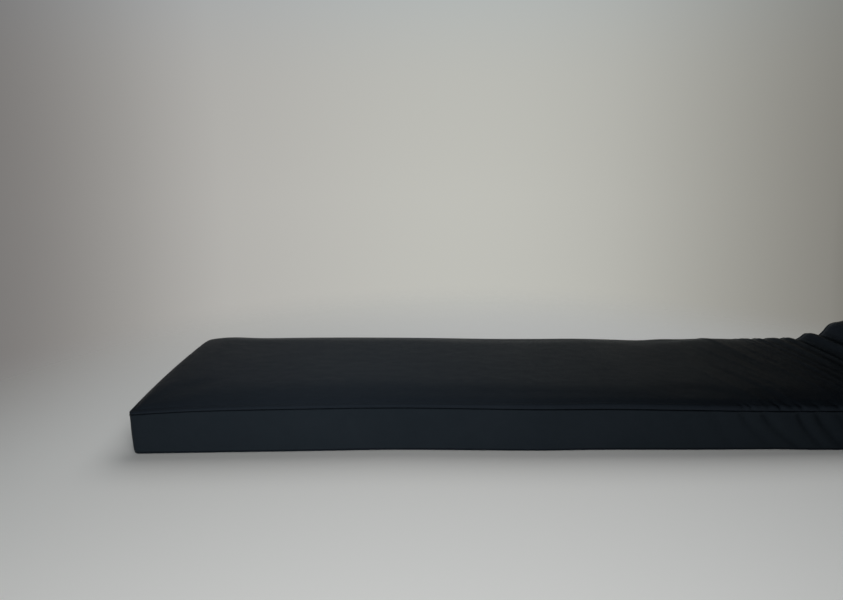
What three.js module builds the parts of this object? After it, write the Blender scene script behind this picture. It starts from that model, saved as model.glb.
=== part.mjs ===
// A long seat cushion of the box kind for a lounge, in millimetres, with +Z up.
// A filled body shows its upper and under panels, and a boxing strip is sewn round its sides between two seams.
// X runs along the cushion from its flat left end, Y from front to rear.
// It lies on its underside, and its right end is bent up, where the slack upper panel bunches into folds.
// The origin is on the flat underside, below the middle of the cushion's length and depth.
import * as THREE from 'three';

// Driving dimensions
const LENGTH = 2134; // along the middle of the filling
const DEPTH = 515;
const FILLING_THICKNESS = 127;
const CORNER_RADIUS = 14; // of the boxing, seen from above

// The bend at the right end: an arc in the middle of the filling, then a straight stretch
const BEND_RADIUS = 264;
const BEND_ANGLE = THREE.MathUtils.degToRad(30);
const BEND_START_REAR = 1880;
const BEND_START_FRONT = 1930;

// Cloth and seams
const BOXING_THICKNESS = 2.2; // strip and the turnings behind it
const SEAM_GAP = 0.3; // between the boxing and the body
const LOWER_SEAM = 5; // height of the seam round the underside
const EDGE_ROLL = 13; // full height of the upper panel's rolled edge over the upper seam

// The upper panel: a quick rise behind the edge, then a low crown
const SHOULDER_RISE = 9;
const SHOULDER_REACH = 17;
const CROWN = 4;
const END_RISE = 4; // the ends' seams are this much higher halfway than at the corners
const END_BOW = 5; // and stand out this much
const END_SKEW = 7; // the ends' rear corners lie this much further right than their front corners

// Both long edges, read along the cushion: how far the side is drawn in, how high its upper seam runs, how far
// the side leans in on its way up to the seam, and how high the panel's rolled edge stands over it
const FRONT_EDGE = [
  { at: 0, drawnIn: -4, seam: 101, lean: 2, roll: 6.5 },
  { at: 70, drawnIn: -2.5, seam: 105, lean: 2.5, roll: 7 },
  { at: 400, drawnIn: 4.5, seam: 110.5, lean: 3, roll: 8 },
  { at: 640, drawnIn: 9.5, seam: 110.5, lean: 3, roll: 8.5 },
  { at: 810, drawnIn: 5.5, seam: 109.5, lean: 2.5, roll: 10 },
  { at: 1000, drawnIn: 2, seam: 108, lean: 2, roll: 12 },
  { at: 1110, drawnIn: 4.5, seam: 107.5, lean: 1.5, roll: 13 },
  { at: 1330, drawnIn: 3, seam: 104.5, lean: 1, roll: 13 },
  { at: 1500, drawnIn: 3, seam: 100.5, lean: 3, roll: 13 },
  { at: 1570, drawnIn: 3, seam: 99.2, lean: 4.5, roll: 13 },
  { at: 1620, drawnIn: 0.5, seam: 98.4, lean: 8, roll: 13 },
  { at: 1900, drawnIn: 2, seam: 97, lean: 12, roll: 13 },
  { at: LENGTH, drawnIn: -2, seam: 101, lean: 0, roll: 13 },
];
const REAR_EDGE = [
  { at: 0, drawnIn: -1, seam: 104, lean: 0, roll: 8 },
  { at: 55, drawnIn: 1, seam: 112.5, lean: 0, roll: 13 },
  { at: 190, drawnIn: 3, seam: 111.3, lean: 0, roll: 13 },
  { at: 365, drawnIn: 5, seam: 114.8, lean: 0, roll: 13 },
  { at: 700, drawnIn: 9, seam: 114, lean: 0, roll: 13 },
  { at: 930, drawnIn: 8, seam: 109.7, lean: 0, roll: 13 },
  { at: 1180, drawnIn: 7.6, seam: 109.6, lean: 0, roll: 13 },
  { at: 1300, drawnIn: 8.5, seam: 106.3, lean: 0, roll: 13 },
  { at: 1385, drawnIn: 9, seam: 104.2, lean: 0, roll: 13 },
  { at: 1447, drawnIn: 8, seam: 107.3, lean: 0, roll: 13 },
  { at: 1510, drawnIn: 6.5, seam: 106.8, lean: 1, roll: 13 },
  { at: 1580, drawnIn: 5, seam: 108.5, lean: 2, roll: 13 },
  { at: 1880, drawnIn: 2, seam: 108, lean: 6, roll: 13 },
  { at: LENGTH, drawnIn: -1, seam: 104, lean: 0, roll: 13 },
];

// Folds across the upper panel: where a fold's line meets the rear and front edge, its height (a trough is
// below zero), its widths before and behind the line, and the part of the depth it crosses, 0 front to 1 rear
const PANEL_FOLDS = [
  { rear: 1460, front: 1468, height: 1.2, before: 18, behind: 26, from: -0.1, to: 0.45 },
  { rear: 1560, front: 1552, height: -1.2, before: 20, behind: 22, from: -0.1, to: 0.5 },
  { rear: 1606, front: 1712, height: 2.4, before: 16, behind: 24, from: 0.35, to: 1.1 },
  { rear: 1664, front: 1790, height: -2, before: 20, behind: 16, from: 0.2, to: 0.9 },
  { rear: 1722, front: 1800, height: 3.4, before: 15, behind: 22, from: 0.3, to: 1.1 },
  { rear: 1768, front: 1842, height: -2.8, before: 18, behind: 14, from: 0.1, to: 1.1 },
  { rear: 1803, front: 1872, height: 3.2, before: 14, behind: 18, from: 0.45, to: 1.1 },
  { rear: 1842, front: 1900, height: 3.6, before: 13, behind: 18, from: 0.25, to: 1.1 },
  { rear: 1884, front: 1920, height: -4.5, before: 18, behind: 12, from: -0.1, to: 1.1 },
  { rear: 1922, front: 1972, height: 15, before: 17, behind: 34, from: -0.1, to: 1.1 },
  { rear: 1980, front: 2022, height: -5, before: 20, behind: 13, from: -0.1, to: 1.1 },
  { rear: 2030, front: 2080, height: 15.5, before: 24, behind: 38, from: -0.1, to: 1.1 },
  { rear: 2096, front: 2124, height: -3, before: 16, behind: 18, from: -0.1, to: 1.1 },
];

// Slanting troughs in the long sides of the boxing: where each leaves the upper and reaches the lower seam
const FRONT_TROUGHS = [
  { top: 1381, bottom: 1459, depth: 0.9, width: 15 },
  { top: 1446, bottom: 1542, depth: 1.8, width: 16 },
  { top: 1510, bottom: 1604, depth: 2.4, width: 15 },
  { top: 1594, bottom: 1661, depth: 2.8, width: 13 },
  { top: 1640, bottom: 1730, depth: 2.8, width: 15 },
  { top: 1735, bottom: 1808, depth: 3, width: 17 },
  { top: 1826, bottom: 1884, depth: 3.2, width: 15 },
  { top: 1918, bottom: 1946, depth: 3.6, width: 16 },
  { top: 1992, bottom: 2000, depth: 3, width: 15 },
];
const REAR_TROUGHS = [
  { top: 1540, bottom: 1612, depth: 1.2, width: 15 },
  { top: 1640, bottom: 1722, depth: 2.2, width: 16 },
  { top: 1728, bottom: 1796, depth: 2.8, width: 14 },
  { top: 1806, bottom: 1852, depth: 3.2, width: 15 },
  { top: 1890, bottom: 1914, depth: 3.8, width: 15 },
  { top: 1984, bottom: 1990, depth: 3.4, width: 16 },
];

// One row for each height round the sides: a share of the upper seam's height plus a rise over that, and how
// far it stands out from the nominal outline
const UNDERSIDE_LEVELS = [
  { share: 0, rise: 0, out: -8 },
  { share: 0, rise: 1.2, out: -2 },
  { share: 0, rise: 3, out: -0.4 },
  { share: 0, rise: LOWER_SEAM, out: -1.8 },
];
const BOXING_LEVELS = [
  { share: 0, rise: LOWER_SEAM + SEAM_GAP, out: -1.8 },
  { share: 0, rise: 9.5, out: 0.5 },
  { share: 0.36, rise: 0, out: 1.3 },
  { share: 0.62, rise: 0, out: 1.6 },
  { share: 0.82, rise: 0, out: 1 },
  { share: 1, rise: -SEAM_GAP, out: -2 },
];
const ROLLED_EDGE_LEVELS = [
  { share: 1, rise: 0, out: -2 },
  { share: 1, rise: 3, out: 1 },
  { share: 1, rise: 9.5, out: 0.9 },
  { share: 1, rise: EDGE_ROLL, out: -2.6 },
];

// Places of the cross lines of the mesh, close together where the cushion is round or folded
const LENGTH_LINES = [
  { to: CORNER_RADIUS, steps: 2 },
  { to: 60, steps: 2 },
  { to: 1320, steps: 12 },
  { to: 1560, steps: 12 },
  { to: 2100, steps: 34 },
  { to: LENGTH - CORNER_RADIUS, steps: 2 },
  { to: LENGTH, steps: 2 },
];
const DEPTH_LINES = [
  { to: CORNER_RADIUS, steps: 2 },
  { to: 45, steps: 1 },
  { to: 110, steps: 1 },
  { to: DEPTH - 110, steps: 4 },
  { to: DEPTH - 45, steps: 1 },
  { to: DEPTH - CORNER_RADIUS, steps: 1 },
  { to: DEPTH, steps: 2 },
];

/** Places from 0 along a line, each run of it cut into equal steps. */
function stations(runs) {
  const places = [0];
  for (const { to, steps } of runs) {
    const from = places.at(-1);
    for (let step = 1; step <= steps; step += 1) {
      places.push(from + ((to - from) * step) / steps);
    }
  }
  return places;
}

/** A column of a table at a place between two of its rows, eased from one row to the next. */
function between(table, column, at) {
  const next = Math.max(1, table.findIndex((row) => row.at >= at));
  const [before, after] = [table[next - 1], table[next]];
  const share = THREE.MathUtils.smoothstep(at, before.at, after.at);
  return THREE.MathUtils.lerp(before[column], after[column], share);
}

/** A soft ridge of height 1 over distance 0, with its own width on each side. */
function ridge(distance, before, behind) {
  const spread = distance < 0 ? before : behind;
  return Math.exp(-((distance / spread) ** 2));
}

/** 1 inside a stretch from..to of the depth, easing to 0 over a tenth of the depth past its ends. */
function withinDepth(across, from, to) {
  const ease = 0.1;
  return THREE.MathUtils.smoothstep(across, from - ease, from + ease)
    * (1 - THREE.MathUtils.smoothstep(across, to - ease, to + ease));
}

/** How high the folds lift the upper panel at a place along and across it. */
function panelFolds(along, across) {
  return PANEL_FOLDS.reduce((sum, fold) => {
    const line = THREE.MathUtils.lerp(fold.front, fold.rear, across);
    const shape = ridge(along - line, fold.before, fold.behind);
    return sum + fold.height * shape * withinDepth(across, fold.from, fold.to);
  }, 0);
}

/** How deep the slanting troughs press into a long side, at a share of the way from its lower to its upper
 *  seam. They fade out before both, so that the strip's edges and the body's recess stay parallel. */
function boxingTroughs(troughs, along, share) {
  const margin = 0.005;
  const inside = THREE.MathUtils.clamp((share - margin) / (1 - 2 * margin), 0, 1);
  const fade = Math.sin(Math.PI * inside) ** 0.6;
  return troughs.reduce((sum, trough) => {
    const line = THREE.MathUtils.lerp(trough.bottom, trough.top, share);
    return sum + fade * trough.depth * ridge(along - line, trough.width, trough.width);
  }, 0);
}

/** Height of the upper seam over the underside, at a place on the sides or, inside them, blended across. */
function seamHeight(along, across) {
  const front = between(FRONT_EDGE, 'seam', along);
  const rear = between(REAR_EDGE, 'seam', along);
  const nearEnd = Math.exp(-Math.min(along, LENGTH - along) / 160);
  return THREE.MathUtils.lerp(front, rear, across) + END_RISE * 4 * across * (1 - across) * nearEnd;
}

/** Height of the rolled edge over the upper seam at a place along and across the cushion. */
function rollHeight(along, across) {
  return THREE.MathUtils.lerp(between(FRONT_EDGE, 'roll', along), between(REAR_EDGE, 'roll', along), across);
}

/** The place in plan of a point, for an outline that stands out from the nominal one, with round corners,
 *  drawn-in long sides that lean in by the share up of the way to the upper seam, and bowed ends. */
function planPoint(along, across, out, up) {
  const [x, y] = [along - LENGTH / 2, (across - 0.5) * DEPTH];
  const coreX = THREE.MathUtils.clamp(x, CORNER_RADIUS - LENGTH / 2, LENGTH / 2 - CORNER_RADIUS);
  const coreY = THREE.MathUtils.clamp(y, CORNER_RADIUS - DEPTH / 2, DEPTH / 2 - CORNER_RADIUS);
  const [dx, dy] = [x - coreX, y - coreY];
  const roundCorner = Math.max(Math.abs(dx), Math.abs(dy)) / (Math.hypot(dx, dy) || 1);
  const reach = roundCorner * (CORNER_RADIUS + out) / CORNER_RADIUS;
  const [front, rear] = [FRONT_EDGE, REAR_EDGE].map((edge) => (
    between(edge, 'drawnIn', along) + between(edge, 'lean', along) * up
  ));
  const drawnFront = front * (1 - across) ** 2;
  const drawnRear = rear * across ** 2;
  const endBow = END_BOW * 4 * across * (1 - across) * (along / LENGTH * 2 - 1) ** 9;
  const skew = END_SKEW * (across - 0.5);
  return { x: coreX + dx * reach + endBow + skew, y: coreY + dy * reach + drawnFront - drawnRear };
}

/** Bends a point of the straight cushion: x and y in plan from its middle, height over the underside. */
function bend({ x, y }, height) {
  const across = THREE.MathUtils.clamp(y / DEPTH + 0.5, 0, 1);
  const start = THREE.MathUtils.lerp(BEND_START_FRONT, BEND_START_REAR, across) - LENGTH / 2;
  const past = Math.max(0, x - start);
  const angle = Math.min(past / BEND_RADIUS, BEND_ANGLE);
  const straight = Math.max(0, past - BEND_RADIUS * BEND_ANGLE);
  const middleX = Math.min(x, start) + BEND_RADIUS * Math.sin(angle) + straight * Math.cos(angle);
  const middleZ = FILLING_THICKNESS / 2 + BEND_RADIUS * (1 - Math.cos(angle)) + straight * Math.sin(angle);
  const over = height - FILLING_THICKNESS / 2;
  return [middleX - over * Math.sin(angle), y, middleZ + over * Math.cos(angle)];
}

/** A point on the sides at one level, with the boxing's troughs and the foot of the panel's folds. */
function sidePoint(along, across, level) {
  const seam = seamHeight(along, across);
  const edgeShare = level.share === 1 ? Math.max(0, level.rise) / EDGE_ROLL : 0;
  const rise = edgeShare > 0 ? edgeShare * rollHeight(along, across) : level.rise;
  const height = level.share * seam + rise + edgeShare * panelFolds(along, across);
  const betweenSeams = (height - LOWER_SEAM) / (seam - LOWER_SEAM);
  let trough = 0;
  if (across === 0) trough = boxingTroughs(FRONT_TROUGHS, along, betweenSeams);
  if (across === 1) trough = boxingTroughs(REAR_TROUGHS, along, betweenSeams);
  const up = THREE.MathUtils.clamp(betweenSeams, 0, 1);
  return bend(planPoint(along, across, level.out - trough, up), height);
}

/** A point of the upper panel inside its rolled edge. */
function panelPoint(along, across) {
  const roll = rollHeight(along, across);
  const toEnd = Math.min(along, LENGTH - along);
  const toSide = Math.min(across, 1 - across) * DEPTH;
  const shoulder = (1 - Math.exp(-toEnd / SHOULDER_REACH)) * (1 - Math.exp(-toSide / SHOULDER_REACH));
  const crown = 4 * across * (1 - across) * (1 - Math.exp(-toEnd / 120));
  const height = seamHeight(along, across) + roll + (SHOULDER_RISE + EDGE_ROLL - roll) * shoulder
    + CROWN * crown + panelFolds(along, across);
  return bend(planPoint(along, across, ROLLED_EDGE_LEVELS.at(-1).out, 1), height);
}

/** A closed mesh from a list of points and a list of quads that face outwards. */
function meshOf(name, points, quads, material) {
  const geometry = new THREE.BufferGeometry();
  geometry.setAttribute('position', new THREE.Float32BufferAttribute(points.flat(), 3));
  geometry.setIndex(quads.flatMap(([a, b, c, d]) => [a, b, c, a, c, d]));
  geometry.computeVertexNormals();
  const mesh = new THREE.Mesh(geometry, material);
  mesh.name = name;
  return mesh;
}

const alongs = stations(LENGTH_LINES);
const acrosses = stations(DEPTH_LINES).map((place) => place / DEPTH);

/** The grid places round the outline, anticlockwise seen from above. */
function outline() {
  const [lastI, lastJ] = [alongs.length - 1, acrosses.length - 1];
  const ring = [];
  for (let i = 0; i < lastI; i += 1) ring.push([i, 0]);
  for (let j = 0; j < lastJ; j += 1) ring.push([lastI, j]);
  for (let i = lastI; i > 0; i -= 1) ring.push([i, lastJ]);
  for (let j = lastJ; j > 0; j -= 1) ring.push([0, j]);
  return ring;
}

/** The filled body: its sides are rings between the underside and the rolled edge, with a recess for the
 *  boxing, and grids close it below and above. */
function filledBody(material) {
  const last = BOXING_LEVELS.length - 1;
  const recess = BOXING_LEVELS.map((level, index) => ({
    share: level.share,
    rise: level.rise + (index === last ? SEAM_GAP : 0) - (index === 0 ? SEAM_GAP : 0),
    out: level.out - BOXING_THICKNESS - SEAM_GAP,
  }));
  const levels = [...UNDERSIDE_LEVELS, ...recess, ...ROLLED_EDGE_LEVELS];
  const ring = outline();
  const top = levels.length - 1;
  const points = [];
  const places = new Map();
  const pointAt = (i, j, level) => {
    const key = `${i} ${j} ${level}`;
    if (!places.has(key)) {
      places.set(key, points.length);
      points.push(level === top
        ? panelPoint(alongs[i], acrosses[j])
        : sidePoint(alongs[i], acrosses[j], levels[level]));
    }
    return places.get(key);
  };
  const quads = [];
  ring.forEach(([i, j], index) => {
    const [nextI, nextJ] = ring[(index + 1) % ring.length];
    for (let level = 0; level < top; level += 1) {
      quads.push([pointAt(i, j, level), pointAt(nextI, nextJ, level),
        pointAt(nextI, nextJ, level + 1), pointAt(i, j, level + 1)]);
    }
  });
  for (let i = 0; i + 1 < alongs.length; i += 1) {
    for (let j = 0; j + 1 < acrosses.length; j += 1) {
      quads.push([pointAt(i, j, top), pointAt(i + 1, j, top), pointAt(i + 1, j + 1, top), pointAt(i, j + 1, top)]);
      quads.push([pointAt(i, j, 0), pointAt(i, j + 1, 0), pointAt(i + 1, j + 1, 0), pointAt(i + 1, j, 0)]);
    }
  }
  return meshOf('filled_body', points, quads, material);
}

/** The boxing: one strip round all four sides, its section carried round the outline. The quads of its
 *  inner face start a corner later, so that they split along the same diagonals as the body's recess. */
function boxing(material) {
  const inner = BOXING_LEVELS.map((level) => ({ ...level, out: level.out - BOXING_THICKNESS }));
  const section = [...BOXING_LEVELS, ...inner.reverse()];
  const ring = outline();
  const points = ring.flatMap(([i, j]) => section.map((level) => sidePoint(alongs[i], acrosses[j], level)));
  const quads = [];
  ring.forEach((_, index) => {
    const here = index * section.length;
    const there = ((index + 1) % ring.length) * section.length;
    section.forEach((__, corner) => {
      const after = (corner + 1) % section.length;
      const [a, b, c, d] = [here + corner, there + corner, there + after, here + after];
      quads.push(corner < BOXING_LEVELS.length ? [a, b, c, d] : [b, c, d, a]);
    });
  });
  return meshOf('boxing_strip', points, quads, material);
}

const panelCloth = new THREE.MeshStandardMaterial({ color: 0x1d2022, roughness: 0.62, metalness: 0 });
const boxingCloth = new THREE.MeshStandardMaterial({ color: 0x1b2023, roughness: 0.6, metalness: 0 });

const cushion = new THREE.Group();
cushion.add(filledBody(panelCloth), boxing(boxingCloth));

export default cushion;
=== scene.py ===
"""A long, near-black box cushion for a lounge, lying on a pale floor with its right end bent up."""

import bpy
import numpy as np
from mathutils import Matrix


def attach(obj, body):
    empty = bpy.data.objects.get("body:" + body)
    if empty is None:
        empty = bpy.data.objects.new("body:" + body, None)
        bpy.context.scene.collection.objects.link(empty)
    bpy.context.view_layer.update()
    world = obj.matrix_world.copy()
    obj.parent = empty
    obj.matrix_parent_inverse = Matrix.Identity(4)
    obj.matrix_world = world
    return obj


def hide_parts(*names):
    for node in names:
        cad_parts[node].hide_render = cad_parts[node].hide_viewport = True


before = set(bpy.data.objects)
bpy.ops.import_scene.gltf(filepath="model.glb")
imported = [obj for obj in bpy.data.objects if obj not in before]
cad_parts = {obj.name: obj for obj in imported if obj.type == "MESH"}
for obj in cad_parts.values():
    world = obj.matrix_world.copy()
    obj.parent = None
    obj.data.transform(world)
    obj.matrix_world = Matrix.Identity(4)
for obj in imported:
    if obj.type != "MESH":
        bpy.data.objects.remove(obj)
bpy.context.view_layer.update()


# The cover, sewn and filled
# Upper panel, boxing and under panel form one closed skin round a foam filling 127 mm thick. It is worked out
# straight, as sewn, from places along its length and across its depth, and then bent up at its right end.

millimetre = 0.001
LENGTH = 2134  # sizes in millimetres, along the middle of the filling
DEPTH = 515
FILLING_THICKNESS = 127
CORNER_RADIUS = 14  # of the boxing, seen from above
END_RISE = 4  # of the ends' seams halfway, over their corners
END_RISE_REACH = 160
END_BOW = 5  # how far the ends stand out halfway
END_BOW_POWER = 9
END_SKEW = 7  # how much further right the ends' rear corners lie than their front corners
SHOULDER_RISE = 9  # of the panel behind its rolled edge
SHOULDER_REACH = 19
END_SHOULDER_REACH = 13
FRONT_REACH = 60  # of the slower rise behind a low front edge
VALLEY = 2.8  # how far the seam pulls the panel down behind its edge
VALLEY_REACH = 10
CROWN = 1.6
CROWN_REACH = 120

BEND_RADIUS = 264
BEND_ANGLE = np.radians(30)
BEND_START_REAR = 1880
BEND_START_FRONT = 1930

# The long edges along the cushion: how far the side is drawn in, how high its upper seam runs, how far the
# boxing leans in on its way up to it, and how high the panel's rolled edge stands over it
EDGE_COLUMNS = ("at", "drawn in", "seam height", "lean", "roll")
FRONT_EDGE = (
    (0, -4, 101, 2, 6.5), (70, -2.5, 105, 2.5, 7), (400, 4.5, 110.5, 3, 8), (640, 9.5, 110.5, 3, 8.5),
    (810, 5.5, 109.5, 2.5, 10), (1000, 2, 108, 2, 12), (1110, 4.5, 107.5, 1.5, 13.4),
    (1330, 3, 104.5, 1, 13.4), (1500, 3, 100.5, 3, 13.4), (1570, 3, 99.2, 4.5, 13.4),
    (1620, 0.5, 98.4, 8, 13.4), (1900, 2, 97, 12, 13.4), (LENGTH, -2, 101, 0, 13.4),
)
REAR_EDGE = (
    (0, -1, 103.5, 0, 8), (45, 1, 111.3, 0, 13.4), (190, 3, 112.6, 0, 13.4), (365, 5, 114.8, 0, 13.4),
    (700, 9, 114, 0, 13.4), (930, 8, 109.7, 0, 13.4), (1060, 7, 109, 0, 13.4), (1180, 7.6, 109.6, 0, 13.4),
    (1300, 8.5, 106.3, 0, 13.4), (1385, 9, 104.2, 0, 13.4), (1447, 8, 107.3, 0, 13.4),
    (1510, 6.5, 106.8, 1, 13.4), (1580, 5, 108.5, 2, 13.4), (1720, 3.6, 106.2, 3.6, 13.4),
    (1880, 2, 108, 6, 13.4), (LENGTH, -1, 104, 0, 13.4),
)


def edge(table, column, along):
    """A column of an edge table along the cushion: a cubic through the rows, with their mean slopes."""
    rows = np.array(table, float)
    at, value = rows[:, 0], rows[:, EDGE_COLUMNS.index(column)]
    slope = np.gradient(value, at)
    left = np.clip(np.searchsorted(at, along) - 1, 0, len(at) - 2)
    span = at[left + 1] - at[left]
    share = (along - at[left]) / span
    start = (1 + 2 * share) * (1 - share) ** 2 * value[left] + share * (1 - share) ** 2 * span * slope[left]
    end = share ** 2 * (3 - 2 * share) * value[left + 1] + share ** 2 * (share - 1) * span * slope[left + 1]
    return start + end


def seam_height(along, across):
    """Height of the upper seam, front to rear edge in a straight line, and higher halfway along the ends."""
    front, rear = edge(FRONT_EDGE, "seam height", along), edge(REAR_EDGE, "seam height", along)
    near_end = np.exp(-np.minimum(along, LENGTH - along) / END_RISE_REACH)
    return front + (rear - front) * across + END_RISE * 4 * across * (1 - across) * near_end


def roll_height(along, across):
    """Height of the rolled edge over the upper seam, front to rear edge in a straight line."""
    front, rear = edge(FRONT_EDGE, "roll", along), edge(REAR_EDGE, "roll", along)
    return front + (rear - front) * across


def plan(along, across, out, up):
    """Place in plan: the rectangle stood out by out, round at the corners, drawn in along both long sides, and
    leaning in by the share up of the way to the upper seam."""
    x, y = along - LENGTH / 2, (across - 0.5) * DEPTH
    core_x = np.clip(x, CORNER_RADIUS - LENGTH / 2, LENGTH / 2 - CORNER_RADIUS)
    core_y = np.clip(y, CORNER_RADIUS - DEPTH / 2, DEPTH / 2 - CORNER_RADIUS)
    dx, dy = x - core_x, y - core_y
    round_corner = np.maximum(abs(dx), abs(dy)) / np.maximum(np.hypot(dx, dy), 1e-9)
    reach = round_corner * (CORNER_RADIUS + out) / CORNER_RADIUS
    front, rear = (edge(t, "drawn in", along) + edge(t, "lean", along) * up for t in (FRONT_EDGE, REAR_EDGE))
    drawn = front * (1 - across) ** 2 - rear * across ** 2
    bow = END_BOW * 4 * across * (1 - across) * (along / LENGTH * 2 - 1) ** END_BOW_POWER
    return core_x + dx * reach + bow + END_SKEW * (across - 0.5), core_y + dy * reach + drawn


def bend(x, y, height, angle_of_bend=BEND_ANGLE):
    """Carries a point of the straight cushion round an arc in the middle of the filling, in metres."""
    across = np.clip(y / DEPTH + 0.5, 0, 1)
    start = BEND_START_FRONT + (BEND_START_REAR - BEND_START_FRONT) * across - LENGTH / 2
    past = np.maximum(0, x - start)
    angle = np.minimum(past / BEND_RADIUS, angle_of_bend)
    straight = np.maximum(0, past - BEND_RADIUS * angle_of_bend)
    middle_x = np.minimum(x, start) + BEND_RADIUS * np.sin(angle) + straight * np.cos(angle)
    middle_z = FILLING_THICKNESS / 2 + BEND_RADIUS * (1 - np.cos(angle)) + straight * np.sin(angle)
    over = height - FILLING_THICKNESS / 2
    point = middle_x - over * np.sin(angle), y, middle_z + over * np.cos(angle)
    return np.stack(point, -1) * millimetre


# Folds across the upper panel, each a ridge or, with a height below zero, a trough
# Columns: where its line meets the rear and the front edge, height, width before and behind the line, and the
# part of the depth it crosses, from 0 at the front to 1 at the rear
PANEL_FOLDS = (
    (1310, 1466, 0.8, 12, 20, -0.1, 0.25), (1330, 1510, 1.1, 10, 22, -0.1, 0.4),
    (1390, 1575, -1.0, 12, 10, 0.0, 0.5), (1400, 1600, 1.4, 7, 14, -0.1, 0.35),
    (1430, 1640, 1.4, 7, 12, 0.1, 0.45), (1490, 1650, 1.3, 7, 12, 0.3, 0.75),
    (1540, 1672, -1.2, 9, 6, 0.3, 0.7), (1580, 1700, 1.9, 8, 20, 0.45, 1.1),
    (1600, 1722, 1.9, 7, 13, 0.1, 0.55), (1636, 1750, 1.7, 6, 12, 0.4, 0.8),
    (1655, 1772, 2.0, 6, 13, 0.15, 0.6), (1690, 1786, 1.6, 6, 11, 0.5, 1.1),
    (1700, 1800, 1.8, 6, 11, 0.05, 0.5), (1712, 1806, 3.2, 9, 10, 0.35, 1.1),
    (1752, 1826, 3.8, 7, 7, 0.5, 1.1), (1755, 1835, 1.4, 8, 12, 0.0, 0.6),
    (1768, 1842, -1.6, 7, 6, 0.1, 1.1), (1796, 1868, 4.4, 13, 18, 0.45, 1.1),
    (1826, 1890, -1.4, 8, 8, 0.2, 1.1), (1842, 1900, 4.8, 9, 14, 0.25, 1.1),
    (1880, 1918, -4.0, 16, 8, -0.1, 1.1), (1922, 1972, 15.5, 20, 34, -0.1, 1.1),
    (1950, 2000, -1.5, 8, 8, 0.0, 0.7), (1978, 2022, -5.0, 18, 9, -0.1, 1.1),
    (2030, 2080, 16.5, 27, 38, -0.1, 1.1), (2060, 2090, -1.4, 9, 9, 0.3, 1.1),
    (2096, 2124, -3.0, 16, 18, -0.1, 1.1),
)
FOLD_EASE = 0.12  # of the depth, before and past each end


def step(low, high, value):
    """Eases from 0 at low to 1 at high, with no slope at either."""
    share = np.clip((value - low) / (high - low), 0, 1)
    return share * share * (3 - 2 * share)


def panel_folds(along, across):
    """Height of all the folds together: each has a bell-shaped section, and eases out past its ends."""
    height = np.zeros(np.broadcast(along, across).shape)
    for rear, front, rise, before, behind, start, end in PANEL_FOLDS:
        off = along - (front + (rear - front) * across)
        bell = np.exp(-(off / np.where(off < 0, before, behind)) ** 2)
        begun = step(start - FOLD_EASE, start + FOLD_EASE, across)
        ended = step(end - FOLD_EASE, end + FOLD_EASE, across)
        height += rise * bell * begun * (1 - ended)
    return height


# Slanting troughs pressed into the boxing's long sides
# Columns: where it leaves the upper and where it reaches the lower seam, depth above and below, width before
# and behind its line
FRONT_TROUGHS = (
    (1326, 1362, 1.2, 1.0, 12, 20), (1388, 1448, 3.2, 2.0, 10, 24), (1457, 1547, 4.5, 3.0, 9, 22),
    (1511, 1610, 7.0, 6.0, 8, 18), (1597, 1667, 9.0, 3.5, 8, 15), (1643, 1718, 9.5, 4.0, 9, 20),
    (1692, 1770, 2.6, 2.0, 7, 14), (1735, 1808, 5.0, 4.0, 9, 18), (1826, 1884, 4.4, 4.0, 10, 20),
    (1918, 1946, 4.4, 4.0, 10, 20), (1992, 2000, 3.6, 3.6, 12, 16),
)
REAR_TROUGHS = (
    (1540, 1612, 1.4, 1.4, 14, 14), (1640, 1722, 2.4, 2.4, 14, 14), (1728, 1796, 3.0, 3.0, 13, 13),
    (1806, 1852, 3.4, 3.4, 14, 14), (1890, 1914, 4.0, 4.0, 14, 14), (1984, 1990, 3.6, 3.6, 15, 15),
)
TROUGH_BEND = 1.4  # 1 would leave the troughs straight
TROUGH_FADE = 8  # the higher, the nearer to the seams they run


def boxing_troughs(along, across, share):
    """Depth of the troughs at a share of the way from the lower to the upper seam. Each bends away as it goes
    down, has a bell-shaped section and fades out at both seams."""
    depth = np.zeros(np.broadcast(along, share).shape)
    down = np.clip(1 - share, 0, 1)
    for troughs, side in ((FRONT_TROUGHS, 0.0), (REAR_TROUGHS, 1.0)):
        for top, bottom, deep_above, deep_below, before, behind in troughs:
            off = along - (top + (bottom - top) * down ** TROUGH_BEND)
            bell = np.exp(-(off / np.where(off < 0, before, behind)) ** 2)
            depth += np.where(across == side, (deep_above + (deep_below - deep_above) * down) * bell, 0)
    return depth * (1 - abs(1 - 2 * down) ** TROUGH_FADE)


# Puckers that start at the front seam, cross the rolled edge and run out on the panel
# Columns: place along the seam, depth, width
PUCKERS = (
    (1384, 1.4, 8), (1466, 2.2, 6), (1484, 3.2, 6), (1528, 1.6, 7), (1556, 4.0, 6), (1585, 1.6, 6),
    (1609, 4.4, 6.5), (1652, 3.0, 7), (1700, 2.6, 8), (1760, 2.2, 8), (1850, 2.2, 8),
)
PUCKER_SLANT = 0.5
PUCKER_START = 4  # how far from the seam they are at full depth
PUCKER_REACH = 34


def puckers(along, reach):
    """Depth of the puckers at a distance from the front seam over the rolled edge: bells that slant, and fade
    with the distance."""
    depth = np.zeros(np.broadcast(along, reach).shape)
    for place, deep, width in PUCKERS:
        depth += deep * np.exp(-((along - place + PUCKER_SLANT * reach) / width) ** 2)
    return depth * step(0, PUCKER_START, reach) * np.exp(-(reach / PUCKER_REACH) ** 2)


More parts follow.
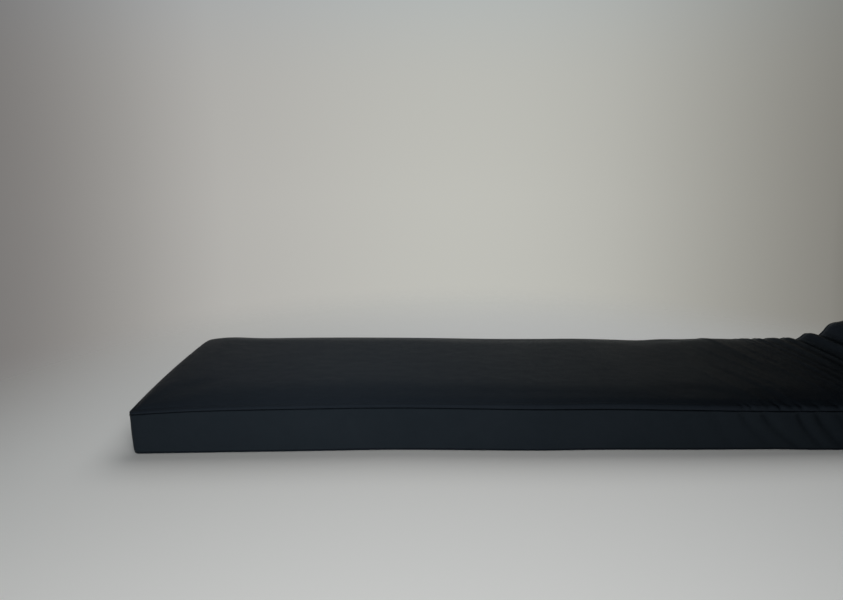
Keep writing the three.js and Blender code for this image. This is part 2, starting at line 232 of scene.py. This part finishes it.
# One row for each line of the skin round the cushion's sides, from the underside to the upper panel
# Columns: share of the upper seam's height, rise over that, how far it stands out
LOWER_SEAM = 5
EDGE_ROLL = 13.4
UNDER_LINES = (
    (0, 0, -8), (0, 0.4, -4.2), (0, 1.4, -1.5), (0, 2.8, -0.6), (0, 4.1, -1.4),
)
BOXING_LINES = (
    (0, LOWER_SEAM, -3), (0, 5.5, -1.3), (0, 6.8, -0.1), (0, 9.5, 0.5), (0, 16, 0.7), (0.25, 0, 1.0),
    (0.36, 0, 1.3), (0.48, 0, 1.5), (0.6, 0, 1.5), (0.71, 0, 1.3), (0.81, 0, 1), (0.9, 0, 0.7),
    (1, -5.5, 1.1), (1, -2.8, 1.7), (1, -1.1, 1.1), (1, -0.4, -0.8), (1, 0, -3),
)
ROLL_LINES = (
    (1, 0.9, -1), (1, 2.2, 0.5), (1, 4.4, 1.1), (1, 7.2, 0.9), (1, 9.8, 0), (1, 11.9, -1.6), (1, 13, -3),
    (1, EDGE_ROLL, -4.6),
)
LINES = np.array(UNDER_LINES + BOXING_LINES + ROLL_LINES, float)
FIRST_BOXING_LINE = len(UNDER_LINES)
LAST_BOXING_LINE = FIRST_BOXING_LINE + len(BOXING_LINES) - 1


def stations(*runs):
    """Places along a line from 0, each run (end, steps) cut into equal steps."""
    places = [0.0]
    for end, steps in runs:
        places.extend(np.linspace(places[-1], end, steps + 1)[1:])
    return np.array(places)


# The skin's grid is close at the corners, behind the rolled edges and where the folds are
EDGE_ZONE = 56
alongs = stations((CORNER_RADIUS, 4), (60, 5), (1310, 36), (1440, 15), (1760, 78), (2112, 54),
                  (LENGTH - CORNER_RADIUS, 2), (LENGTH, 4))
acrosses = stations((CORNER_RADIUS, 4), (EDGE_ZONE, 5), (DEPTH - EDGE_ZONE, 20), (DEPTH - CORNER_RADIUS, 5),
                    (DEPTH, 4)) / DEPTH
last_along, last_across = len(alongs) - 1, len(acrosses) - 1


def round_the_edge():
    """Indices along and across of the grid's border, anticlockwise from the front left corner."""
    up, over = np.arange(last_along), np.arange(last_across)
    i = np.concatenate([up, np.full(last_across, last_along), last_along - up, np.zeros(last_across, int)])
    j = np.concatenate([np.zeros(last_along, int), over, np.full(last_along, last_across), last_across - over])
    return i, j


border_i, border_j = round_the_edge()
border_along, border_across = alongs[border_i], acrosses[border_j]
border_count = len(border_i)


def side_points(share, rise, out, folds, angle):
    """The line round the sides at one row of LINES: the roll and the folds lift it over the upper seam, and
    troughs and puckers press it in."""
    seam = seam_height(border_along, border_across)
    over_seam = share == 1 and rise > 0
    roll = roll_height(border_along, border_across) / EDGE_ROLL if over_seam else 1
    height = share * seam + rise * roll
    between = (height - LOWER_SEAM) / (seam - LOWER_SEAM)
    pressed = boxing_troughs(border_along, border_across, between)
    lift = 0
    if over_seam:
        pucker = puckers(border_along, rise) * (border_across == 0)
        pressed = pressed + pucker
        lift = panel_folds(border_along, border_across) * rise / EDGE_ROLL - pucker * rise / EDGE_ROLL
    up = np.clip(between, 0, 1)
    return bend(*plan(border_along, border_across, out - folds * pressed, up), height + folds * lift, angle)


def panel_points(folds, angle):
    """The upper panel inside its rolled edge: a narrow valley where the seam pulls it down, a quick rise, a
    slower one behind a low front edge, a low crown, the folds and the puckers."""
    along, across = np.meshgrid(alongs, acrosses, indexing="ij")
    to_end = np.minimum(along, LENGTH - along)
    to_side = np.minimum(across, 1 - across) * DEPTH
    roll = roll_height(along, across)
    shoulder = (1 - np.exp(-to_end / END_SHOULDER_REACH)) * (1 - np.exp(-to_side / SHOULDER_REACH))
    crown = 4 * across * (1 - across) * (1 - np.exp(-to_end / CROWN_REACH))
    to_edge = np.minimum(to_end, to_side) / VALLEY_REACH
    slow = (1 - np.exp(-to_end / END_SHOULDER_REACH)) * (1 - np.exp(-(across * DEPTH / FRONT_REACH) ** 2))
    height = seam_height(along, across) + roll
    height = height + SHOULDER_RISE * shoulder + (EDGE_ROLL - roll) * slow + CROWN * crown
    height = height - VALLEY * to_edge ** 2 * np.exp(1 - to_edge ** 2)
    height = height + folds * (panel_folds(along, across) - puckers(along, EDGE_ROLL + across * DEPTH))
    out = LINES[-1, 2] - folds * puckers(along, EDGE_ROLL + 0 * across) * (across == 0)
    return bend(*plan(along, across, out, 1), height, angle).reshape(-1, 3)


def under_points(angle):
    """The under panel inside its first line: flat, and bent up with the rest."""
    along, across = np.meshgrid(alongs, acrosses, indexing="ij")
    return bend(*plan(along, across, LINES[0, 2], 0), np.zeros_like(along), angle).reshape(-1, 3)


def skin_points(folds=1.0, angle=BEND_ANGLE):
    """All points of the skin: the under panel's grid, the lines round the sides, the upper panel's grid."""
    sides = [side_points(*row, folds, angle) for row in LINES[1:-1]]
    return np.concatenate([under_points(angle), *sides, panel_points(folds, angle)])


# The skin's faces: a grid below, bands of quads round the sides, and a grid above
grid_count = len(alongs) * len(acrosses)
under_grid = np.arange(grid_count).reshape(len(alongs), len(acrosses))
upper_grid = under_grid + grid_count + (len(LINES) - 2) * border_count
line_ids = np.stack(
    [under_grid[border_i, border_j]]
    + [grid_count + row * border_count + np.arange(border_count) for row in range(len(LINES) - 2)]
    + [upper_grid[border_i, border_j]]
)


def grid_quads(grid):
    """Quads of a grid of point numbers, facing up where its rows run along and its columns across."""
    return np.stack([grid[:-1, :-1], grid[1:, :-1], grid[1:, 1:], grid[:-1, 1:]], -1).reshape(-1, 4)


def band_quads(lines):
    """Quads between lines of point numbers that run round the sides, facing outwards."""
    ahead = np.roll(lines, -1, axis=1)
    return np.stack([lines[:-1], ahead[:-1], ahead[1:], lines[1:]], -1).reshape(-1, 4)


def make_object(name, points, quads, weave_places=None):
    """A smooth-shaded mesh object from arrays of points, quads and the quads' corners on the flat cloth."""
    mesh = bpy.data.meshes.new(name)
    mesh.from_pydata(points.tolist(), [], quads.tolist())
    mesh.shade_smooth()
    if weave_places is not None:
        on_cloth = mesh.uv_layers.new(name="on the cloth")
        on_cloth.data.foreach_set("uv", weave_places.astype(np.float32).ravel())
    made = bpy.data.objects.new(name, mesh)
    bpy.context.scene.collection.objects.link(made)
    return made


def points_of(mesh):
    """A mesh's points as an array."""
    points = np.empty(len(mesh.vertices) * 3, np.float32)
    mesh.vertices.foreach_get("co", points)
    return points.reshape(-1, 3).astype(float)


def normals_of(mesh):
    """A mesh's point normals as an array."""
    normals = np.empty(len(mesh.vertices) * 3, np.float32)
    mesh.vertex_normals.foreach_get("vector", normals)
    return normals.reshape(-1, 3).astype(float)


skin_quads = np.concatenate([grid_quads(under_grid)[:, ::-1], band_quads(line_ids), grid_quads(upper_grid)])
skin = make_object("skin", skin_points(), skin_quads)

# The filling presses the cloth outwards between the seams, and the bend leaves the cloth above it too long
PRESSURE = 0.2
STIFFNESS = 40
BENDING_STIFFNESS = 0.5
LAST_FRAME = 20
FARTHEST = 2.2 * millimetre
HELD_EDGE = 4  # rows of the panel's grid, from its edge


def settle(laid):
    """Lets the filling press on the cloth, which is cut as the straight skin and held underneath and along
    its seams. Where the cloth moves by d, the point moves by d times FARTHEST over the root of d squared plus
    FARTHEST squared, so never farther than that."""
    before = points_of(laid.data)
    laid.shape_key_add(name="as laid")
    as_sewn = laid.shape_key_add(name="as sewn")
    as_sewn.data.foreach_set("co", skin_points(0.0, 0.0).astype(np.float32).ravel())
    held = laid.vertex_groups.new(name="held")
    edge_of_panel = upper_grid.copy()
    edge_of_panel[HELD_EDGE:-HELD_EDGE, HELD_EDGE:-HELD_EDGE] = upper_grid[0, 0]
    seams = [line_ids[1:FIRST_BOXING_LINE + 2], line_ids[LAST_BOXING_LINE - 2:]]
    fixed = np.unique(np.concatenate([grid.ravel() for grid in (under_grid, *seams, edge_of_panel)]))
    held.add(fixed.tolist(), 1.0, "REPLACE")
    cloth = laid.modifiers.new("Filling", "CLOTH")
    cloth.settings.vertex_group_mass = "held"
    cloth.settings.rest_shape_key = laid.data.shape_keys.key_blocks["as sewn"]
    cloth.settings.use_pressure = True
    cloth.settings.uniform_pressure_force = PRESSURE
    cloth.settings.effector_weights.gravity = 0
    cloth.settings.tension_stiffness = cloth.settings.compression_stiffness = STIFFNESS
    cloth.settings.bending_stiffness = BENDING_STIFFNESS
    cloth.point_cache.frame_start, cloth.point_cache.frame_end = 1, LAST_FRAME
    for moment in range(1, LAST_FRAME + 1):
        bpy.context.scene.frame_set(moment)
    settled_mesh = laid.evaluated_get(bpy.context.evaluated_depsgraph_get()).to_mesh()
    moved = points_of(settled_mesh) - before
    bpy.context.scene.frame_set(1)
    far = np.linalg.norm(moved, axis=1, keepdims=True)
    laid.modifiers.remove(cloth)
    laid.shape_key_clear()
    return before + moved * FARTHEST / np.hypot(FARTHEST, far)


skin.data.vertices.foreach_set("co", settle(skin).astype(np.float32).ravel())
skin.data.update()


# The filled body
# The upper and under panels with the foam that they hold. The boxing lies over its sides, in a recess, and
# the panels' edges are turned in at both seams.

RECESS = 3.3  # in millimetres; more than the boxing's thickness, so that the two stay clear of each other
RECESSED_LINES = (5, 6, 8, 12, 16, 19, 21)  # the skin's lines that the body keeps behind the boxing
BEHIND_TROUGHS = (8, 12, 16)
BEHIND_BY = 0.8  # how much deeper those lie
HEIGHTS_TRIED = 41

settled, outward = points_of(skin.data), normals_of(skin.data)
bpy.data.objects.remove(skin)


def trough_depth(share):
    """Depth of the boxing's troughs round the sides, at a share of the way up."""
    return boxing_troughs(border_along, border_across, share)


def recess_line(row):
    """One of the skin's lines moved straight in by the recess. The body's side is straight up and down between
    its few lines, so those behind the troughs lie as deep as the deepest trough above or below them."""
    share, rise, out = LINES[row]
    way_out = side_points(share, rise, out + 1, 0, BEND_ANGLE) - side_points(share, rise, out, 0, BEND_ANGLE)
    way_out /= np.linalg.norm(way_out, axis=1, keepdims=True)
    depth = RECESS
    if row in BEHIND_TROUGHS:
        seam = seam_height(border_along, border_across)
        here = trough_depth((share * seam + rise - LOWER_SEAM) / (seam - LOWER_SEAM))
        deepest = np.max([trough_depth(height) for height in np.linspace(0, 1, HEIGHTS_TRIED)], axis=0)
        depth = RECESS + BEHIND_BY + deepest - here
    return settled[line_ids[row]] - way_out * np.reshape(depth, (-1, 1)) * millimetre


body_points = settled.copy()
for row in RECESSED_LINES:
    body_points[line_ids[row]] = recess_line(row)
kept = [*range(FIRST_BOXING_LINE), *RECESSED_LINES, *range(LAST_BOXING_LINE + 1, len(LINES))]
body_quads = np.concatenate([
    grid_quads(under_grid)[:, ::-1], band_quads(line_ids[kept]), grid_quads(upper_grid)])

# Places on the flat panels, in metres: the place in plan, and beyond the border as far out as the cloth runs
# down the side
girth = np.append(0, np.cumsum(np.linalg.norm(np.diff(settled[line_ids], axis=0), axis=2).mean(axis=1)))
flat_places = np.zeros((len(settled), 2))
flat_places[under_grid] = flat_places[upper_grid] = np.stack(
    np.meshgrid(alongs * millimetre, acrosses * DEPTH * millimetre, indexing="ij"), -1)
to_the_end = (border_i == last_along) * 1.0 - (border_i == 0)
to_the_rear = (border_j == last_across) * 1.0 - (border_j == 0)
beyond = np.minimum(girth, girth[-1] - girth)[1:-1, None, None] * np.stack([to_the_end, to_the_rear], -1)
flat_places[line_ids[1:-1]] = flat_places[line_ids[0]] + beyond

used, body_quads = np.unique(body_quads, return_inverse=True)
body_quads = body_quads.reshape(-1, 4)
cushion = make_object("cushion_body", body_points[used], body_quads, flat_places[used][body_quads])


# The cloth
# Both pieces are cut from one smooth plain-weave polyester. It is near black, a little uneven in tone, and
# carries some lint. Lengths are in metres here, and shares are those of the worn colour.

THREAD_SPACING = 0.0006
THREAD_HEIGHT = 0.00006
UNEVEN_HEIGHT = 0.0012
MOTTLE_SHARE, LINT_SHARE, THREAD_SHARE = 0.55, 0.35, 0.18
PLAIN_ROUGHNESS, MOTTLE_ROUGHNESS = 0.32, 0.08


def woven_cloth():
    """A node group for the smooth plain-weave cloth of panels and boxing.
    Threads: the product of two sines of the place on the cloth, a rounded bump or dip for each crossing.
    Mottling and lint: noises on the object's own coordinates, two for uneven colour and one for lint."""
    group = bpy.data.node_groups.new("woven cloth", "ShaderNodeTree")
    face = group.interface
    face.new_socket("Place on the cloth", in_out="INPUT", socket_type="NodeSocketVector")
    face.new_socket("Place on the object", in_out="INPUT", socket_type="NodeSocketVector")
    spacing = face.new_socket("Thread spacing", in_out="INPUT", socket_type="NodeSocketFloat")
    spacing.default_value = THREAD_SPACING
    face.new_socket("Colour", in_out="INPUT", socket_type="NodeSocketColor")
    face.new_socket("Worn colour", in_out="INPUT", socket_type="NodeSocketColor")
    face.new_socket("Colour", in_out="OUTPUT", socket_type="NodeSocketColor")
    face.new_socket("Roughness", in_out="OUTPUT", socket_type="NodeSocketFloat")
    face.new_socket("Height", in_out="OUTPUT", socket_type="NodeSocketFloat")
    put, join = group.nodes.new, group.links.new
    given, result = put("NodeGroupInput"), put("NodeGroupOutput")

    def maths(operation, one, other=0.0, third=0.0):
        """One Math node; each value is a socket or a number."""
        node = put("ShaderNodeMath")
        node.operation = operation
        for socket, value in zip(node.inputs, (one, other, third)):
            if isinstance(value, bpy.types.NodeSocket):
                join(value, socket)
            else:
                socket.default_value = value
        return node.outputs["Value"]

    def noise(patches, detail):
        """Noise on the object's own coordinates, with so many patches in a metre."""
        node = put("ShaderNodeTexNoise")
        node.inputs["Scale"].default_value, node.inputs["Detail"].default_value = patches, detail
        join(given.outputs["Place on the object"], node.inputs["Vector"])
        return node.outputs["Fac"]

    def between(value, low, high):
        """0 where the value is low or less, 1 where it is high or more."""
        node = put("ShaderNodeMapRange")
        node.inputs["From Min"].default_value, node.inputs["From Max"].default_value = low, high
        join(value, node.inputs["Value"])
        return node.outputs["Result"]

    place = put("ShaderNodeSeparateXYZ")
    join(given.outputs["Place on the cloth"], place.inputs[0])
    turn = maths("DIVIDE", np.pi, given.outputs["Thread spacing"])
    warp = maths("SINE", maths("MULTIPLY", place.outputs["X"], turn))
    weft = maths("SINE", maths("MULTIPLY", place.outputs["Y"], turn))
    threads = maths("MULTIPLY", warp, weft)
    broad = noise(patches=7, detail=4)
    uneven = noise(patches=38, detail=5)
    lint = noise(patches=260, detail=3)
    # The noises lie mostly between 0.3 and 0.7, and lint shows where one goes past that
    mottle = between(maths("ADD", maths("MULTIPLY", broad, 0.6), maths("MULTIPLY", uneven, 0.4)), 0.3, 0.7)
    fibres = between(lint, 0.66, 0.8)
    worn = maths("MULTIPLY_ADD", fibres, LINT_SHARE, maths("MULTIPLY", mottle, MOTTLE_SHARE))
    worn = maths("MULTIPLY_ADD", threads, THREAD_SHARE, worn)
    colour = put("ShaderNodeMix")
    colour.data_type = "RGBA"
    join(worn, colour.inputs["Factor"])
    join(given.outputs["Colour"], colour.inputs["A"])
    join(given.outputs["Worn colour"], colour.inputs["B"])
    join(colour.outputs["Result"], result.inputs["Colour"])
    join(maths("MULTIPLY_ADD", mottle, MOTTLE_ROUGHNESS, PLAIN_ROUGHNESS), result.inputs["Roughness"])
    unevenness = maths("MULTIPLY", uneven, UNEVEN_HEIGHT)
    join(maths("MULTIPLY_ADD", threads, THREAD_HEIGHT, unevenness), result.inputs["Height"])
    return group


cloth_nodes = woven_cloth()


def cloth_material(name, base, worn):
    """The woven cloth with a faint sheen: the group's colour, roughness and height on one shader."""
    material = bpy.data.materials.new(name)
    material.use_nodes = True
    put, join = material.node_tree.nodes.new, material.node_tree.links.new
    weave, places, bump = put("ShaderNodeGroup"), put("ShaderNodeTexCoord"), put("ShaderNodeBump")
    weave.node_tree = cloth_nodes
    weave.inputs["Colour"].default_value, weave.inputs["Worn colour"].default_value = (*base, 1), (*worn, 1)
    on_the_cloth = put("ShaderNodeUVMap")
    on_the_cloth.uv_map = "on the cloth"
    join(on_the_cloth.outputs["UV"], weave.inputs["Place on the cloth"])
    join(places.outputs["Object"], weave.inputs["Place on the object"])
    shader = material.node_tree.nodes["Principled BSDF"]
    join(weave.outputs["Colour"], shader.inputs["Base Color"])
    join(weave.outputs["Roughness"], shader.inputs["Roughness"])
    join(weave.outputs["Height"], bump.inputs["Height"])
    join(bump.outputs["Normal"], shader.inputs["Normal"])
    bump.inputs["Distance"].default_value = 1
    shader.inputs["Specular IOR Level"].default_value = 0.021
    shader.inputs["Sheen Weight"].default_value = 0.004
    shader.inputs["Sheen Roughness"].default_value = 0.4
    shader.inputs["Sheen Tint"].default_value = (0.7, 0.85, 1, 1)
    return material


cushion.data.materials.append(cloth_material(
    "panel_cloth", base=(0.0082, 0.0110, 0.0148), worn=(0.0108, 0.0140, 0.0184)))
smooth = cushion.modifiers.new("Smooth cloth", "SUBSURF")
smooth.levels = smooth.render_levels = 1
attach(cushion, "root")
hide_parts("filled_body")


# The boxing
# A strip of the same cloth, about 106 mm wide, that goes round all four sides between the two panels. It is
# sewn to both with its edges turned in, and lies over the foam.

BOXING_THICKNESS = 2.0 * millimetre

outer_lines = line_ids[FIRST_BOXING_LINE:LAST_BOXING_LINE + 1]
outer = settled[outer_lines]
inner = outer - outward[outer_lines] * BOXING_THICKNESS
section = np.concatenate([outer, inner[::-1]])
section_ids = np.arange(section.shape[0] * border_count).reshape(section.shape[0], border_count)
boxing_quads = band_quads(np.concatenate([section_ids, section_ids[:1]]))

# Places on the flat strip, in metres: the way round the sides, and the way up outside and down inside
way_round = np.append(0, np.cumsum(np.linalg.norm(np.roll(outer, -1, axis=1) - outer, axis=2).mean(axis=0)))
way_up = np.append(0, np.cumsum(np.linalg.norm(np.diff(outer, axis=0), axis=2).mean(axis=1)))
way_up = np.concatenate([way_up, way_up[::-1] + BOXING_THICKNESS, [0]])
here, ahead = np.meshgrid(way_round[:-1], way_up[:-1]), np.meshgrid(way_round[1:], way_up[1:])
strip_places = np.stack([np.stack([u, v], -1) for u, v in (
    (here[0], here[1]), (ahead[0], here[1]), (ahead[0], ahead[1]), (here[0], ahead[1]))], 2)
boxing = make_object("boxing_band", section.reshape(-1, 3), boxing_quads, strip_places)
boxing.data.materials.append(cloth_material(
    "boxing_cloth", base=(0.0080, 0.0110, 0.0142), worn=(0.0108, 0.0141, 0.0178)))
smooth = boxing.modifiers.new("Smooth cloth", "SUBSURF")
smooth.levels = smooth.render_levels = 1
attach(boxing, "root")
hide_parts("boxing_strip")


# The stage
# A round pale floor fades into a pale backdrop of light, brighter in the middle and on the left. The backdrop
# is dark overhead and behind the camera, so that slopes which face the camera stay dark.

FLOOR_MIDDLE = (-0.1, -0.5, 0)
FLOOR_FADES = (1.1, 2.1)  # metres from there
FLOOR_SIDES = 96
FLOOR_BELOW = 0.0004  # so that the cushion's underside doesn't lie in it

floor_mesh = bpy.data.meshes.new("floor")
around = np.linspace(0, 2 * np.pi, FLOOR_SIDES, endpoint=False)
rim = np.stack([np.cos(around), np.sin(around), 0 * around], -1) * FLOOR_FADES[1] + FLOOR_MIDDLE
floor_mesh.from_pydata(rim.tolist(), [], [list(range(len(rim)))])
floor = bpy.data.objects.new("floor", floor_mesh)
bpy.context.scene.collection.objects.link(floor)
floor.location.z = -FLOOR_BELOW
floor_paper = bpy.data.materials.new("floor_paper")
floor_paper.use_nodes = True
nodes, links = floor_paper.node_tree.nodes, floor_paper.node_tree.links
nodes["Principled BSDF"].inputs["Base Color"].default_value = (0.86, 0.86, 0.84, 1)
nodes["Principled BSDF"].inputs["Roughness"].default_value = 0.75
from_middle = nodes.new("ShaderNodeVectorMath")
from_middle.operation = "DISTANCE"
from_middle.inputs[1].default_value = FLOOR_MIDDLE
links.new(nodes.new("ShaderNodeTexCoord").outputs["Object"], from_middle.inputs[0])
fade = nodes.new("ShaderNodeMapRange")
fade.interpolation_type = "SMOOTHSTEP"
fade.inputs["From Min"].default_value, fade.inputs["From Max"].default_value = FLOOR_FADES
fade.inputs["To Min"].default_value, fade.inputs["To Max"].default_value = 1, 0
links.new(from_middle.outputs["Value"], fade.inputs["Value"])
links.new(fade.outputs["Result"], nodes["Principled BSDF"].inputs["Alpha"])
floor_mesh.materials.append(floor_paper)

world = bpy.data.worlds.new("backdrop")
bpy.context.scene.world = world
world.use_nodes = True
nodes, links = world.node_tree.nodes, world.node_tree.links
split = nodes.new("ShaderNodeSeparateXYZ")
links.new(nodes.new("ShaderNodeTexCoord").outputs["Generated"], split.inputs[0])


def world_ramp(axis, stops):
    """Brightness by how far a direction points along one axis, from -1 to 1."""
    spread = nodes.new("ShaderNodeMapRange")
    spread.inputs["From Min"].default_value = -1
    links.new(split.outputs[axis], spread.inputs["Value"])
    ramp = nodes.new("ShaderNodeValToRGB")
    ramp.color_ramp.interpolation = "B_SPLINE"
    marks = ramp.color_ramp.elements
    marks.remove(marks[1])
    for index, (along_axis, colour) in enumerate(stops):
        mark = marks[0] if index == 0 else marks.new(0.5 + along_axis / 2)
        mark.position = 0.5 + along_axis / 2
        mark.color = (*colour, 1)
    links.new(spread.outputs["Result"], ramp.inputs["Fac"])
    return ramp.outputs["Color"]


def product(one, other):
    """The product of two colours."""
    mix = nodes.new("ShaderNodeMix")
    mix.data_type, mix.blend_type = "RGBA", "MULTIPLY"
    mix.inputs["Factor"].default_value = 1
    links.new(one, mix.inputs["A"])
    links.new(other, mix.inputs["B"])
    return mix.outputs["Result"]


def eased(value, low, high, start, end):
    """Eases from start, where value is low, to end, where it is high."""
    spread = nodes.new("ShaderNodeMapRange")
    spread.interpolation_type = "SMOOTHSTEP"
    for name, number in (("From Min", low), ("From Max", high), ("To Min", start), ("To Max", end)):
        spread.inputs[name].default_value = number
    links.new(value, spread.inputs["Value"])
    return spread.outputs["Result"]


# High up it has a trace of blue, which the panel reflects, and straight overhead it is dark
sideways = world_ramp("X", (
    (-1, (0.45, 0.45, 0.45)), (-0.75, (0.20, 0.20, 0.20)), (-0.57, (0.17, 0.16, 0.155)),
    (-0.42, (0.35, 0.34, 0.325)), (-0.3, (0.45, 0.44, 0.42)), (0.0, (0.53, 0.53, 0.49)),
    (0.3, (0.51, 0.51, 0.47)), (0.57, (0.23, 0.22, 0.195)), (0.68, (0.03, 0.03, 0.03)),
    (1, (0.01, 0.01, 0.01))))
upward = world_ramp("Z", (
    (-1, (1.1, 1.1, 1.1)), (-0.1, (1.0, 1.0, 1.0)), (0.1, (0.95, 0.95, 0.95)), (0.22, (0.88, 0.92, 0.97)),
    (0.34, (0.67, 0.79, 0.94)), (0.5, (0.78, 0.92, 1.10)), (0.62, (0.76, 0.88, 1.0)),
    (0.8, (0.1, 0.1, 0.1)), (1, (0.06, 0.06, 0.06))))
forward = world_ramp("Y", (
    (-1, (0.35, 0.35, 0.35)), (-0.3, (0.2, 0.2, 0.2)), (0.5, (1, 1, 1)), (1, (1, 1, 1))))

# Above the frame on the right it is dark, which the panel reflects near its raised end
darker = nodes.new("ShaderNodeMath")
darker.operation = "MULTIPLY_ADD"
links.new(eased(split.outputs["X"], 0.30, 0.56, 0, 1), darker.inputs[0])
links.new(eased(split.outputs["Z"], 0.19, 0.28, 0, -0.95), darker.inputs[1])
darker.inputs[2].default_value = 1

# Below the horizon it is plain, so that it shows even where the floor has faded
shaded = nodes.new("ShaderNodeMix")
shaded.data_type = "RGBA"
shaded.inputs["B"].default_value = (1, 1, 1, 1)
links.new(eased(split.outputs["Z"], -0.3, 0.0, 1, 0), shaded.inputs["Factor"])
links.new(product(forward, darker.outputs["Value"]), shaded.inputs["A"])
links.new(product(product(sideways, upward), shaded.outputs["Result"]), nodes["Background"].inputs["Color"])


# The lights
# Soft boxes that show neither to the camera nor in reflections. The floor has two of its own, because lights
# near enough to bring out the black cloth would leave a white patch on it. The others light the panel's left
# part, the front, the rear and the raised end.

def soft_box(name, place, target, size, watts, lit, spread=180):
    """A square soft light at place that faces target, its beam spread degrees wide. Only the objects in lit
    take its light."""
    data = bpy.data.lights.new(name, "AREA")
    data.size, data.energy, data.spread = size, watts, np.radians(spread)
    light = bpy.data.objects.new(name, data)
    bpy.context.scene.collection.objects.link(light)
    light.location = place
    away = np.subtract(place, target)
    light.rotation_euler = (np.arctan2(np.hypot(away[0], away[1]), away[2]), 0, np.arctan2(away[0], -away[1]))
    light.visible_glossy = light.visible_camera = False
    light.light_linking.receiver_collection = bpy.data.collections.new(name + "_falls_on")
    for thing in lit:
        light.light_linking.receiver_collection.objects.link(thing)


cover = [cushion, boxing]
soft_box("floor_top_light", (0.0, 1.3, 2.3), (0.0, 0.5, 0), 2.2, 28, [floor])
soft_box("floor_front_light", (-0.42, -1.8, 1.15), (-0.42, -0.9, 0), 1.3, 16, [floor])
soft_box("panel_light", (-0.58, -0.16, 0.88), (-0.58, -0.16, 0), 0.3, 4.6, cover)
soft_box("front_light", (-0.60, -2.0, 0.11), (-0.60, -0.26, 0.06), 0.25, 18, cover, spread=130)
soft_box("rear_light", (0.1, 2.2, 0.12), (0.1, 0.26, 0.06), 0.2, 36, cover)
soft_box("end_light", (3.2, 0.0, 0.25), (1.1, 0.0, 0.12), 0.3, 20, cover)


# The camera
# It stands 0.7 m up and 1.3 m in front, almost square to the cushion's long front side, and looks down on it.

CAMERA_DOWN, CAMERA_RIGHT = 14.3, 0.53  # degrees

camera_data = bpy.data.cameras.new("camera")
camera_data.sensor_width = 36
camera_data.lens = 25.62
camera = bpy.data.objects.new("camera", camera_data)
camera.location = (-0.391, -1.5675, 0.713)
camera.rotation_euler = (np.radians(90 - CAMERA_DOWN), 0, -np.radians(CAMERA_RIGHT))
bpy.context.scene.collection.objects.link(camera)
bpy.context.scene.camera = camera
bpy.context.scene.view_settings.view_transform = "Standard"
